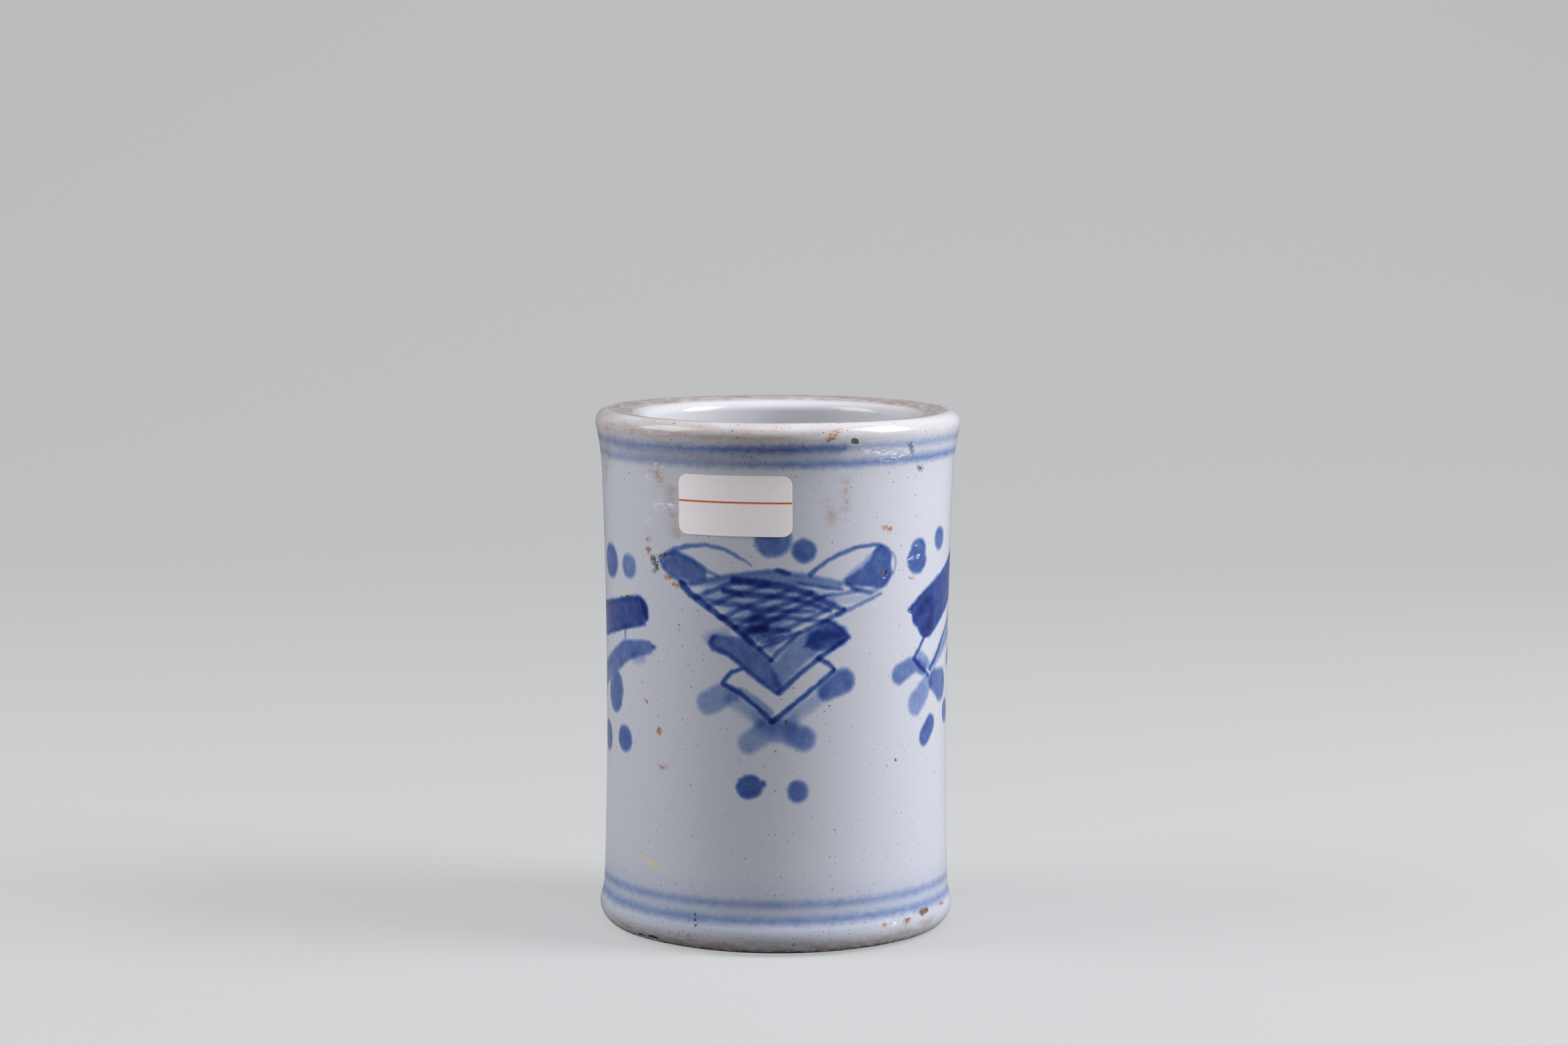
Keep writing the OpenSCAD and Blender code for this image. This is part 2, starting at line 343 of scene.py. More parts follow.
# A stroke is its strength, its softness and its points, each with the brush's half width there.
# None lifts the brush within one stroke. Strengths add up where strokes cross.
hatched_emblem = [
    # Two dots above, one partly under the label
    (1.7, 0.9, [(-1.2, 102, 4.1), (-0.8, 102, 4.1)]),
    (1.9, 0.75, [(6.3, 99.4, 2.75), (6.6, 99.2, 2.75)]),
    # Left ribbon: loop, leaf and its edges
    (1.5, 0.48, [(-30.5, 95.6, 0.3), (-29, 97.2, 0.5), (-26, 98.7, 0.6), (-22, 99.8, 0.5),
                 (-17.5, 100.3, 0.4), (-13, 99.6, 0.4), (-10, 98.1, 0.35), (-6, 95.7, 0.05)]),
    (1.7, 0.68, [(-28.6, 95.1, 1.3), (-25.4, 95, 2.9), (-21.8, 94, 2.6), (-18.7, 93.2, 1.4)]),
    (1.3, 0.48, [(-30.4, 95.3, 0.4), (-29.4, 93.8, 0.5), (-27, 92.2, 0.55), (-23.5, 90.8, 0.6)]),
    (1.2, 0.54, [(-29, 97, 0.4), (-25.6, 98.1, 0.5), (-21.5, 96.7, 0.6), (-17, 94, 0.45),
                 (-14.3, 92.8, 0.3)]),
    # Right ribbon: loop, lobe and its edges
    (1.8, 0.48, [(8, 93.5, 0.6), (9.6, 95, 0.5), (12, 96.7, 0.45), (15, 98.2, 0.45),
                 (19, 99.6, 0.45), (24, 100.2, 0.4), (26.4, 99.9, 0.4)]),
    (2.15, 0.6, [(17.6, 91.6, 0.9), (21.4, 92.4, 2.3), (25.8, 93.6, 4.0), (26.9, 96.8, 2.9),
                 (26.9, 98.4, 1.5)]),
    (0.7, 0.6, [(16.4, 91.9, 0.4), (19, 94.2, 0.4), (22, 96.1, 0.4), (25.6, 99.4, 0.4)]),
    (0.9, 0.6, [(18.5, 90, 0.5), (22, 88.9, 0.5), (25, 88.9, 0.5), (28.2, 90.3, 0.5),
                (30, 93, 0.5)]),
    (0.8, 0.42, [(29.8, 98, 0.3), (31.1, 96.5, 0.3), (31.2, 95, 0.3), (30.6, 93, 0.3)]),
    # Hatched triangle: washes
    (0.6, 1.3, [(-17, 88.9, 1.2), (-6, 86.8, 4.8), (3, 86.6, 5.0), (12, 87, 2.0), None,
                (0, 81, 4.0), (-1.4, 76, 1.2)]),
    (0.4, 1.3, [(-1, 80.6, 3.2), (-1.4, 76, 1.2)]),
    (1.2, 0.75, [(-21.5, 90.6, 0.5), (-12, 92, 0.9), (-2, 93, 1.4), (5, 92.2, 1.2),
                 (15, 90.4, 0.7)]),
    (0.3, 0.7, [(14, 87, 1.0), (20, 87.3, 0.9), (23, 87.8, 0.4)]),
    # Its edges
    (1.0, 0.54, [(-23.6, 90.4, 0.7), (-13, 92.8, 0.55), (-5, 94.1, 0.5), (0, 94.6, 0.5),
                 (3.2, 93.9, 0.6), (8, 93.1, 0.5), (13, 92, 0.5), (17.5, 90.7, 0.5),
                 (20, 89.4, 0.5), (24, 88.4, 0.45)]),
    (1.6, 0.48, [(0, 94.5, 0.55), (2.9, 93.9, 0.5)]),
    (2.4, 0.48, [(-24.2, 90.4, 0.8), (-21.8, 88.3, 0.8), (-15, 83.9, 0.65), (-10, 80.3, 0.6),
                 (-5.8, 76.8, 0.55), (-1.4, 72.8, 0.5)]),
    (1.8, 0.48, [(16.6, 84.7, 0.5), (12.5, 82.6, 0.55), (5, 79, 0.5), (0.4, 74.8, 0.5),
                 (-1.3, 72.9, 0.5)]),
    (1.2, 0.48, [(26.6, 88, 0.35), (20, 85.6, 0.5), (14.8, 83.5, 0.55)]),
    # Its level lines, the first two darkest
    (2.2, 0.6, [(-10.4, 92, 0.85), (-4, 91.5, 0.9), (1, 90.8, 0.8), (4.5, 90.1, 0.75),
                (8, 88.8, 0.8), (11, 87.2, 0.7), (14, 85.8, 0.6), (16.6, 84.7, 0.45)]),
    (0.7, 0.6, [(-10.2, 91.9, 0.8), (-6, 91.5, 0.7), None, (-12.6, 89.4, 0.6), (-9, 88.7, 0.6)]),
    (2.0, 0.6, [(-12.7, 89.4, 0.7), (-8, 88.6, 0.7), (-2, 88.4, 0.6), (3, 87.9, 0.55),
                (7, 86.8, 0.65), (10, 85.7, 0.65), (12.8, 84.6, 0.5)]),
    (1.2, 0.5, [(12, 88.3, 0.4), (16, 88.6, 0.45), (20, 89.2, 0.45), None, (5, 91.6, 0.3),
                (16, 89.6, 0.3)]),
    (1.5, 0.55, [(-19.5, 87.3, 0.5), (-14, 86.3, 0.6), (-9, 86, 0.6), (-5, 85.3, 0.65),
                 (1, 84.9, 0.6), (9, 84.6, 0.3)]),
    (1.5, 0.55, [(-14, 83, 0.6), (-11, 82.2, 0.7), (-7, 82.6, 0.6), (-2, 82.9, 0.55),
                 (3, 83.1, 0.55), (8, 82.4, 0.5), (12, 82.2, 0.4)]),
    (1.4, 0.55, [(-10.5, 80.6, 0.5), (-6, 80.2, 0.6), (-1, 80.2, 0.6), (3, 79.9, 0.5)]),
    # Its slanting lines
    (1.5, 0.55, [(-20.5, 87.3, 0.55), (-11.5, 91, 0.6), None, (-13.5, 82.6, 0.6), (-9, 85, 0.6),
                 (2.5, 89.6, 0.55), None, (-7.5, 79, 0.6), (3, 84.6, 0.6), (11.5, 88.2, 0.5)]),
    (1.5, 0.55, [(-17, 85.2, 0.55), (-12, 87.6, 0.6), (-2, 91.3, 0.55), None, (-10, 80.6, 0.6),
                 (-1, 85.4, 0.6), (8, 89, 0.55), None, (-4.5, 77.8, 0.6), (2.7, 80.6, 0.5),
                 (8.5, 83.2, 0.5), (13, 85.2, 0.5)]),
    (1.5, 0.5, [(-4, 75.6, 0.5), (0, 77.3, 0.5), (5.5, 79.6, 0.5), None, (-3.6, 76.9, 0.4),
                (1.2, 78.5, 0.4)]),
    # Blots over the hatching
    (1.5, 0.9, [(-4.7, 83.6, 1.6), (-4.3, 81.4, 2.4)]),
    (1.5, 0.8, [(-2.6, 80.2, 0.9), (-5.6, 79.8, 1.7), (-7, 79, 1.7), (-6.2, 77.2, 0.9)]),
    # Chevron under it, with its dark right end
    (1.72, 0.75, [(-14.6, 76.8, 1.8), (-9.5, 75.4, 2.8), (-4, 70.8, 2.8), (-0.2, 66.4, 1.3)]),
    (1.3, 0.54, [(-15.6, 77.7, 0.4), (-16.5, 76.4, 0.6), (-15.6, 75.1, 0.6), (-12.3, 74.2, 0.5),
                 (-9, 71.9, 0.45), (-4, 67.8, 0.4), (0, 64.7, 0.3)]),
    (0.6, 1.56, [(-17, 77.6, 0.9), (-12.5, 79.2, 0.9)]),
    (1.1, 0.8, [(0.4, 67.4, 1.4), (2.4, 71.4, 2.8), (5.4, 74.8, 3.0), (9, 77.2, 2.9), None,
                (-0.2, 71.6, 1.0), (0.2, 67, 1.0)]),
    (2.2, 0.95, [(5.6, 75.6, -0.9), (10, 77.6, 2.4), (12.6, 78.5, 3.6), (15.2, 78.4, 2.4),
                 (17.6, 78, 0.4)]),
    (1.6, 1.7, [(12.8, 78.9, 1.5), (15, 78.7, 1.4)]),
    (1.2, 0.5, [(12.8, 82, 0.5), (15.6, 80.2, 0.5), (18.2, 77.8, 0.4)]),
    (2.2, 0.48, [(0.6, 64.9, 0.65), (4, 68, 0.5), (10.3, 73.2, 0.55), (17.4, 77.6, 0.4)]),
    (2.2, 0.48, [(10.3, 73.1, 0.5), (12.6, 71.7, 0.5), (14.2, 70.4, 0.35)]),
    # Thin V with a wash inside its left arm
    (2.4, 0.48, [(-8.6, 70.5, 0.4), (-11, 69.6, 0.5), (-12.8, 67.6, 0.5), (-13.1, 66.7, 0.6),
                 (-8.7, 64.5, 0.5), (-4.6, 61.1, 0.45), (-0.9, 57.8, 0.5)]),
    (2.4, 0.48, [(-0.9, 57.8, 0.7), (1.5, 59.7, 0.55), (7, 64.2, 0.5), (14, 70, 0.5)]),
    (0.9, 0.6, [(-8.8, 65.3, 0.7), (-5, 62.8, 1.0), (-1.6, 60, 0.9)]),
    # Four cloud lobes
    (0.87, 0.9, [(-17, 61.8, 2.9), (-13.2, 63.9, 2.8), (-10.5, 64.2, 1.6)]),
    (0.6, 1.35, [(-11, 63, 1.6), (-7, 60.6, 1.7), (-4, 58.4, 1.9), None, (11, 63.8, 1.5),
                 (4, 59.2, 1.6)]),
    (1.7, 0.9, [(16.5, 67.3, 3.0), (12.4, 65, 2.2)]),
    (0.85, 1.0, [(-6.7, 52.4, 2.6), (-2.6, 55.4, 2.8), (1.8, 55.6, 2.8), (6.6, 53.6, 3.0)]),
    (0.65, 1.35, [(6.6, 53.6, 2.5), (3, 55, 1.8)]),
    (0.35, 1.4, [(-3, 56, 2.0), (3, 55.8, 2.0)]),
    (0.5, 1.35, [(-4.6, 59, 1.5), (-1, 57, 2.0), (4, 58, 1.4)]),
    # Two dots below
    (2.3, 0.68, [(-6.9, 41.6, 2.75), (-6.1, 41.8, 2.75), (-3.4, 42.4, 0.8)]),
    (1.65, 0.75, [(5.3, 40.9, 2.4), (5.3, 40.4, 2.4)]),
]

left_emblem = [
    # Dots above
    (1.8, 0.9, [(-54.3, 93.2, 4.1), (-53, 93.2, 4.1)]),
    (1.25, 0.75, [(-43, 93, 2.9), (-42.5, 93, 2.9)]),
    # Broad band with dark edges
    (2.7, 0.6, [(-71, 76, 4.1), (-60, 78.1, 4.1), (-50, 80.1, 3.7), (-40.5, 82.1, 3.5),
                (-38.4, 82.4, 3.3)]),
    (1.5, 0.6, [(-71, 78.9, 1.2), (-60, 81.4, 1.0), (-50, 83.8, 0.5), (-42, 85.4, 0.5),
                (-38, 85.7, 0.6), (-36.2, 83.2, 0.6), (-35.3, 81, 0.5)]),
    (1.5, 0.48, [(-66, 73, 0.6), (-52, 75.8, 0.5), (-46, 77.4, 0.5), (-40, 78.5, 0.45),
                 (-36.4, 79.4, 0.4)]),
    (0.4, 1.7, [(-40, 83.4, 1.0), (-37.4, 82.2, 1.6)]),
    (0.7, 0.6, [(-37.6, 84.9, 0.5), (-35.8, 80.9, 0.5)]),
    (1.0, 0.48, [(-45, 77.6, 0.4), (-45, 75.2, 0.4)]),
    # Curl and the lobes under it
    (1.65, 0.68, [(-32.9, 74.1, 0.4), (-35.2, 73.7, 1.6), (-40, 73, 2.0), (-45, 71.8, 2.6),
                  (-50, 69.1, 2.8), (-58, 65.4, 2.9), (-70, 61, 3.0), None, (-51.8, 60.4, 4.8),
                  (-51.2, 61.8, 4.5)]),
    (0.9, 0.72, [(-60.5, 64.8, 0.9), (-55, 68.2, 0.7)]),
    (0.6, 1.2, [(-37.6, 70.9, 1.2), (-40.5, 70.6, 1.3)]),
    (0.2, 1.4, [(-51.6, 59.8, 3.6), (-51.2, 60.6, 3.4)]),
    (1.4, 0.75, [(-68, 57, 3.6), (-65, 60, 3.4)]),
    # Dots below
    (1.9, 0.75, [(-46.1, 49.8, 3.2), (-45.5, 49.8, 3.2)]),
    (2.3, 0.75, [(-59, 48.8, 3.6), (-58.4, 48.6, 3.6)]),
]

right_emblem = [
    # Dots above
    (2.0, 0.68, [(39.5, 97.4, 3.1), (39.2, 95.7, 3.8)]),
    (1.7, 0.75, [(50, 99.6, 2.75), (50.2, 99.4, 2.75)]),
    # Broad band with its square, dark end
    (2.9, 0.6, [(36.9, 83.1, 0.5), (40.5, 81.6, 2.9), (44.4, 80.6, 5.0), (53, 85.4, 5.4),
                (69, 91.4, 5.8), None, (38, 83.4, 0.9), (44, 85.6, 2.0), (52, 88.8, 1.6)]),
    (0.4, 1.2, [(42.8, 77.5, 1.4), (45.6, 77.2, 1.8)]),
    (1.6, 1.8, [(41, 83, 0.6), (44.4, 84.6, 1.2), (46.8, 82.4, 1.6), (45.4, 78.6, 1.4)]),
    (1.1, 0.54, [(36.4, 83.3, 0.6), (40, 85.5, 0.6), (44, 87.8, 0.5), (50, 90.2, 0.4)]),
    # Thin V
    (2.2, 0.48, [(43, 75.8, 0.4), (41, 73.5, 0.45), (38.5, 70.8, 0.6), (39.6, 69.9, 0.6),
                 (42, 68.3, 0.5), (45.4, 66, 0.4)]),
    (2.0, 0.48, [(46.4, 67.6, 0.7), (48.5, 69.2, 0.5), (51, 71.3, 0.5), (55, 74.7, 0.5),
                 (66, 81.5, 0.5)]),
    # Cloud lobes and pale washes
    (1.4, 0.75, [(33.2, 67.6, 2.5), (37, 69.1, 2.2), (40, 69.2, 1.7), (43, 67.6, 1.3)]),
    (0.9, 0.72, [(41.4, 71.4, 1.1), (45, 68.8, 1.1)]),
    (1.0, 1.2, [(49, 69, 1.1), (55, 72.5, 1.7), (66, 77, 2.2)]),
    (1.0, 0.83, [(39.8, 59.8, 3.1), (42.6, 62, 2.9), (44.8, 64, 2.2)]),
    (1.7, 0.85, [(53.6, 62.6, 4.2), (48.8, 64.4, 2.7)]),
    (1.4, 0.75, [(67, 71, 2.7), (62, 68, 2.0)]),
    # Dots below
    (2.0, 0.68, [(43.9, 50.9, 2.3), (46.9, 53.6, 2.4)]),
    (2.0, 0.75, [(58.9, 55.3, 2.8), (59, 55, 2.8)]),
]

half_round = pi * chart_r
painted_rings_and_foot_shade = [
    # Two rings under the lip, the upper one darkest where the brush was loaded at the front
    (0.7, 1.25, [(-half_round, 124, 0.8), (-50, 123.4, 0.9), (-12, 123.6, 0.85),
                 (15.5, 124.1, 0.7)]),
    (0.85, 1.0, [(-40, 123.4, -1.0), (-4, 123.9, 0.7), (4, 124, 0.75), (15, 124.1, 0.65)]),
    (0.6, 1.2, [(16, 124.2, 0.4), (30, 124.3, 0.5), (50, 124.4, 0.75), (half_round, 124, 0.8)]),
    (0.6, 1.2, [(-half_round, 120.3, 0.8), (-50, 119.9, 0.8), (0, 120.1, 0.75), (50, 120.5, 0.8),
                (half_round, 120.3, 0.8)]),
    (0.45, 1.0, [(-20, 120, -0.9), (6, 120.2, 0.75), (50, 120.5, 0.75), (90, 120.4, -0.9)]),
    (0.14, 1.9, [(-half_round, 122, 1.2), (0, 122.1, 1.2), (half_round, 122, 1.2)]),
    (0.25, 1.7, [(-58, 121.8, -0.6), (-30, 121.8, 1.0), (2, 122, 1.1), (14, 122.3, 0.6)]),
    # Two rings above the foot, and a broad pale wash round it: cobalt haze from the rings
    # and painted shade that darkens the lower wall towards the foot
    (0.7, 1.3, [(-half_round, 12.9, 0.6), (0, 12.9, 0.7), (half_round, 12.9, 0.6)]),
    (0.9, 1.4, [(-half_round, 9, 0.65), (-20, 8.8, 0.75), (20, 9, 0.7), (half_round, 9, 0.65)]),
    (0.2, 7.0, [(-half_round, 11, 4.0), (0, 11, 4.0), (half_round, 11, 4.0)]),
]

# Stains use the same form: rust drawn out of the clay, black iron grains, old yellow crust,
# pale scuffs with painted glints among them, and brown haze. They break up into grains where they
# thin out.
rust_marks = [
    (0.95, 1.6, [(-35, 97.8, 0.8), (-34.2, 98.2, 0.8), None, (-34.9, 100.4, 0.7),
                 (-34.2, 100.5, 0.7)]),
    (1.0, 1.5, [(-28.8, 91.6, 0.9), (-27.8, 91.7, 0.9), None, (-26.4, 90.2, 0.7),
                (-25.4, 89.8, 0.7)]),
    (0.72, 2.2, [(-33.2, 95.6, 1.0), (-31.4, 94.4, 1.0)]),
    (0.88, 2.0, [(27.2, 104.1, 1.0), (29.3, 103.4, 1.0)]),
    (1.1, 0.8, [(-31.4, 53.6, 0.9), (-31.5, 53.3, 0.9)]),
    (0.8, 2.2, [(-31, 44.5, 1.1), (-28.8, 45.1, 1.1)]),
    (0.9, 1.2, [(-36.6, 60.7, 0.6), (-35.7, 60.1, 0.6), None, (36, 91, 0.5), (38.2, 90.7, 0.5)]),
    (0.85, 2.2, [(14.2, 128.2, 0.9), (11.6, 126.2, 1.2)]),
    (0.75, 2.6, [(-31.2, 117.2, 1.3), (-30, 115.2, 1.3)]),
    (0.65, 2.4, [(12.8, 110, 1.2), (13.2, 107, 1.3), None, (16.6, 114.4, 1.0), (16.4, 110.6, 1.1)]),
    (0.62, 3.0, [(-50.5, 127, 1.5), (-52.4, 120, 1.8), None, (-54.5, 117, 1.6), (-56, 113.6, 1.5)]),
    (0.68, 1.8, [(-25.6, 79.5, 0.9), (-24.8, 79.1, 0.9), None, (-24.6, 104.6, 0.8),
                 (-25.2, 101.5, 0.9)]),
    (0.62, 2.6, [(-32, 4.6, 1.2), (-29.6, 4.8, 1.2), None, (-27, 4.4, 1.4), (-22, 4, 1.6),
                 (-16, 4.6, 1.2)]),
    (0.55, 2.6, [(8, 3.8, 1.3), (20, 4, 1.6), (33, 5, 1.5), None, (-10, 6.2, 1.0), (4, 5.6, 1.0)]),
    (0.92, 1.4, [(34.9, 6.3, 0.8), (36, 6.5, 0.8), None, (51.2, 7.6, 0.7), (53.6, 7.3, 0.7)]),
    (0.9, 1.9, [(40.4, 7.2, 1.0), (44, 7.3, 1.0)]),
    (0.9, 0.7, [(27.5, 6.4, 0.3), (28.1, 6.2, 0.3)]),
]

iron_grains = [
    (1.8, 0.5, [(17.8, 125.7, 0.6), (18.3, 125.5, 0.6)]),
    (0.78, 2.0, [(34, 124, 1.1), (35.4, 122, 1.0), (35.8, 120.4, 0.5)]),
    (0.82, 1.9, [(38, 118.1, 1.0), (39.6, 117.7, 1.0)]),
    (0.84, 2.4, [(-33, 95.9, 1.5), (-31.8, 94, 1.5), (-32.8, 92.8, 1.0)]),
    (0.8, 1.4, [(-30.4, 96.8, 0.6), (-29, 97.2, 0.7), (-26.5, 97.6, 0.5)]),
    (0.95, 1.9, [(41, 7.3, 0.9), (43.6, 7.5, 0.9), None, (34.8, 6.2, 0.4), (35.8, 6.6, 0.4)]),
    (1.6, 0.3, [(-20.1, 9.7, 0.2), (-20, 9.5, 0.2), None, (-20, 8.4, 0.3), (-19.9, 8.3, 0.3), None,
                (-19.8, 7, 0.25), (-19.6, 7, 0.25), None, (2.2, 57.9, 0.2), (2.4, 57.4, 0.2)]),
    (1.4, 0.35, [(32.2, 46.6, 0.3), (32.4, 46.4, 0.3), None, (13.1, 61.4, 0.2), (13.2, 61.4, 0.2)]),
    (0.85, 1.1, [(-44, 85.4, 0.6), (-41.6, 85.3, 0.6), None, (40.4, 84.8, 0.5), (43.4, 86.2, 0.5)]),
    (0.6, 2.4, [(-8, 122.4, 1.3), (-2.5, 120.6, 1.2)]),
]

yellow_crusts = [
    (0.85, 1.6, [(-36, 21, 0.9), (-33.5, 20.5, 1.1), (-31.4, 20.1, 0.9), None, (-38.6, 22, 0.5),
                 (-37.4, 21.8, 0.5)]),
    (0.76, 1.3, [(-53, 85.4, 0.7), (-47, 86.1, 0.8), (-41.8, 86.6, 0.8)]),
    (0.74, 1.5, [(-34.4, 37, 0.8), (-33.8, 35.6, 0.8), None, (-17.2, 57.6, 0.7),
                 (-14.6, 58.2, 0.7)]),
]

# Pale scuffs of rubbed glaze, and painted glints of light on the lip rings, the foot and a chip's
# edge
scuffs_and_glints = [
    # Rubbed glaze between the lip rings, with painted glints on it
    (0.9, 1.0, [(20.5, 123.2, 0.4), (27, 122.5, 0.8), (33, 122.2, 0.6), None, (26, 120.9, 0.3),
                (33, 121.3, 0.4)]),
    (1.0, 1.1, [(-31.6, 118.9, 0.6), (-30, 118.5, 0.5), None, (-35.6, 115.4, 0.4),
                (-33.4, 115.6, 0.4)]),
    (1.0, 1.2, [(-31.6, 108.9, 0.8), (-26, 109.6, 0.5), None, (-35, 105, 0.4), (-33, 104.6, 0.3)]),
    (1.0, 0.5, [(36.2, 95.7, 0.3), (37.4, 96.3, 0.3), None, (38.9, 95.9, 0.3), (39.8, 96.4, 0.3),
                None, (35.1, 94.2, 0.2), (35.7, 94.1, 0.2), None, (37.8, 98.9, 0.2),
                (38.4, 98.8, 0.2)]),
    (0.9, 0.6, [(36.8, 82.5, 0.3), (37.3, 81.4, 0.3)]),
    # Painted glint: a highlight of the right light on the foot's rounding
    (1.1, 0.8, [(28.8, 6.7, 0.4), (30.8, 6.4, 0.6)]),
    # Painted glint on the lower edge of the chip
    (1.1, 0.4, [(27.2, 92.1, 0.2), (28.6, 91.9, 0.3)]),
]

brown_haze = [
    (1.1, 2.4, [(-59, 127, 1.6), (-55, 120, 1.4), (-57, 113, 0.9), None, (-51, 126, 0.8),
                (-52.5, 117, 0.8)]),
    (1.2, 1.7, [(-52, 127, 1.2), (-25, 126.8, 1.2), (4, 127, 0.9), (13, 127.4, 0.6)]),
    (0.45, 2.0, [(-29.5, 95.6, 1.2), (-22, 94.4, 2.0)]),
    (0.4, 2.4, [(13, 127.6, 0.6), (40, 127.6, 0.8), (60, 127, 0.8)]),
    (1.0, 2.4, [(-31.4, 118.4, 1.8), (-29.5, 115, 1.0), None, (-26.8, 113, 1.2),
                (-25.8, 103, 1.0)]),
    (0.9, 2.2, [(12.6, 110.4, 1.0), (13.2, 106.6, 1.0), None, (16.6, 115.4, 0.9),
                (16.4, 109.6, 0.9)]),
    (0.8, 2.2, [(-30, 121.4, 1.0), (-14, 121.6, 1.2), (-3, 120.6, 1.2)]),
    (1.45, 2.2, [(-50, 3.6, 0.6), (-36, 3.2, 0.9), (-22, 2.8, 1.1), (-4, 2.2, 1.1), (14, 2.4, 0.9),
                 (26, 2.6, 0.5), (34, 3, 0.7), (46, 4.4, 0.6)]),
]

# One pass of a round brush between two points, with a half width at each end
brush_stroke, given, out = new_group(
    "brush_stroke",
    {"Chart": "Vector", "From": "Vector", "To": "Vector", "From Width": "Float",
     "To Width": "Float", "Softness": "Float", "Earlier": "Float"},
    {"Mask": "Float"})
along = calc3(brush_stroke, "SUBTRACT", given["To"], given["From"])
against = calc3(brush_stroke, "SUBTRACT", given["From"], given["To"])
back_to_start = calc3(brush_stroke, "SUBTRACT", given["From"], given["Chart"])
share = calc(brush_stroke, "DIVIDE", calc3(brush_stroke, "DOT_PRODUCT", back_to_start, along),
             calc3(brush_stroke, "DOT_PRODUCT", along, against))
share = put(brush_stroke, "Clamp", {"Value": share}).outputs["Result"]
reached = put(brush_stroke, "VectorMath", {0: along, "Scale": share}, operation="SCALE")
to_nearest = calc3(brush_stroke, "ADD", reached.outputs["Vector"], back_to_start)
distance = calc3(brush_stroke, "LENGTH", to_nearest)
widening = calc(brush_stroke, "SUBTRACT", given["To Width"], given["From Width"])
half_width = calc(brush_stroke, "MULTIPLY_ADD", share, widening, given["From Width"])
outside = calc(brush_stroke, "SUBTRACT", distance, half_width)
inner_edge = calc(brush_stroke, "MULTIPLY", given["Softness"], -1.0)
covered = ramp(brush_stroke, outside, given["Softness"], inner_edge)
brush_stroke.links.new(calc(brush_stroke, "MAXIMUM", given["Earlier"], covered), out["Mask"])


def paint(tree, chart, strokes):
    """Pigment laid down by a list of strokes."""
    pigment = 0.0
    for strength, softness, points in strokes:
        mask = 0.0
        for start, end in zip(points, points[1:]):
            if start and end:
                inputs = {"Chart": chart, "From": (*start[:2], 0), "To": (*end[:2], 0),
                          "From Width": start[2], "To Width": end[2], "Softness": softness,
                          "Earlier": mask}
                mask = put(tree, "Group", inputs, node_tree=brush_stroke).outputs["Mask"]
        pigment = calc(tree, "MULTIPLY_ADD", mask, strength, pigment)
    return pigment


def painting(name, strokes):
    """A painted motif as a node group."""
    tree, given, out = new_group(name, {"Chart": "Vector"}, {"Pigment": "Float"})
    tree.links.new(paint(tree, given["Chart"], strokes), out["Pigment"])
    return tree


# Ripples and pinhole texture of the fired glaze, the same on every coat
glaze_skin, given, out = new_group("glaze_skin", {"Place": "Vector"}, {"Height": "Float"})
ripples = put(glaze_skin, "TexNoise", {"Vector": given["Place"], "Scale": 0.16, "Detail": 2.0})
peel = put(glaze_skin, "TexNoise", {"Vector": given["Place"], "Scale": 0.9, "Detail": 2.0})
skin = calc(glaze_skin, "MULTIPLY_ADD", peel.outputs["Fac"], 0.35, ripples.outputs["Fac"])
glaze_skin.links.new(skin, out["Height"])
skin_strength = 0.35
skin_depth = 0.12


def lay_skin(tree, shader, place, strength=skin_strength, depth=skin_depth):
    """Gives a glaze the skin that every coat has."""
    skin = put(tree, "Group", {"Place": place}, node_tree=glaze_skin).outputs["Height"]
    bump = put(tree, "Bump", {"Strength": strength, "Distance": depth * MM, "Height": skin})
    tree.links.new(bump.outputs["Normal"], shader.inputs["Normal"])


glaze_colour = (0.425, 0.432, 0.492, 1)
glaze_shine = 0.22
thin_colour = (0.452, 0.45, 0.485, 1)
let_through = (0.315, 0.43, 0.705)
haze_colour = (0.80, 0.64, 0.52, 1)
rust_colour = (0.42, 0.175, 0.06, 1)
old_rust_colour = (0.14, 0.08, 0.055, 1)
iron_colour = (0.04, 0.033, 0.032, 1)
crust_colour = (0.56, 0.44, 0.27, 1)
# Colour of the pale scuffs and of the painted glints
scuff_and_glint_colour = (0.68, 0.69, 0.74, 1)
glaze_gloss = 0.16
stain_dullness = 0.45
fold_at = 79.9
fold_by = 159.8

# Where wear starts and where it is full: heights, and places round the wall
thin_lip = (124.5, 128.5)
grimy_lip = (116.5, 123.0)
worn_lip = (116.0, 127.0)
worn_foot = (9.0, 3.0)
# The foot's lower edge is painted darker: dirt, and painted shade where the foot turns under
dirty_shaded_foot = (2.6, 0.7)
handled_right = (38.0, -10.0)
handled_left = (-115.0, -75.0)

cobalt_glaze, tree, shader, place = new_material("cobalt_glaze", glaze_gloss, glaze_shine)
axes = put(tree, "SeparateXYZ", {0: place}).outputs
z = axes["Z"]
front = times(tree, axes["Y"], -1.0)
u = times(tree, calc(tree, "ARCTAN2", axes["X"], front), chart_r)

# The side emblems come again at the back, so five stand round the wall
behind = calc(tree, "GREATER_THAN", calc(tree, "ABSOLUTE", u), fold_at)
fold = times(tree, calc(tree, "SIGN", u), times(tree, behind, fold_by))
folded_u = calc(tree, "SUBTRACT", u, fold)
true_chart = put(tree, "CombineXYZ", {"X": u, "Y": z}).outputs[0]
folded_chart = put(tree, "CombineXYZ", {"X": folded_u, "Y": z}).outputs[0]


